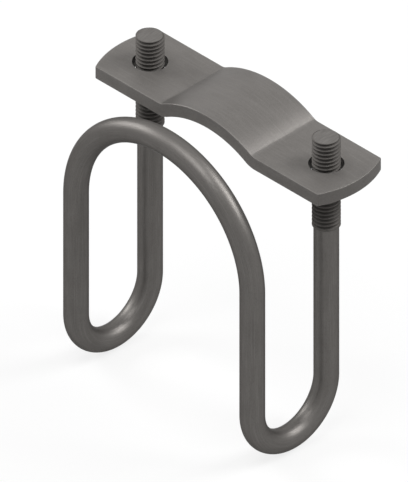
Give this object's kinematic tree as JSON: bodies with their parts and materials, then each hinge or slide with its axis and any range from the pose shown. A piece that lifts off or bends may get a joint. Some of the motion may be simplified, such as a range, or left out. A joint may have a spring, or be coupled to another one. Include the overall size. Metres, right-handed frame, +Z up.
{
  "type": "double pipe clamp",
  "caption": "Clamp that ties a pipe to a smaller pipe crossing under it: a steel rod bent into an arch and U-bends, with a formed saddle plate on its threaded ends.",
  "frame": {"origin": "the centre of the arch seen from the front, on the main pipe's axis, midway between the arch and the studs, straight above the cross pipe's axis", "axes": "+X along the cross pipe, +Y along the main pipe from the arch towards the studs, +Z up towards the threaded ends"},
  "size_m": [0.0918, 0.0445, 0.0969],
  "materials": {
    "rod_steel": "dark satin drawn rod with rolled threads",
    "plate_steel": "dark satin pressed strip"
  },
  "bodies": {
    "root": {"double_u_bolt": "rod_steel", "saddle_plate": "plate_steel"}
  },
  "joints": []
}
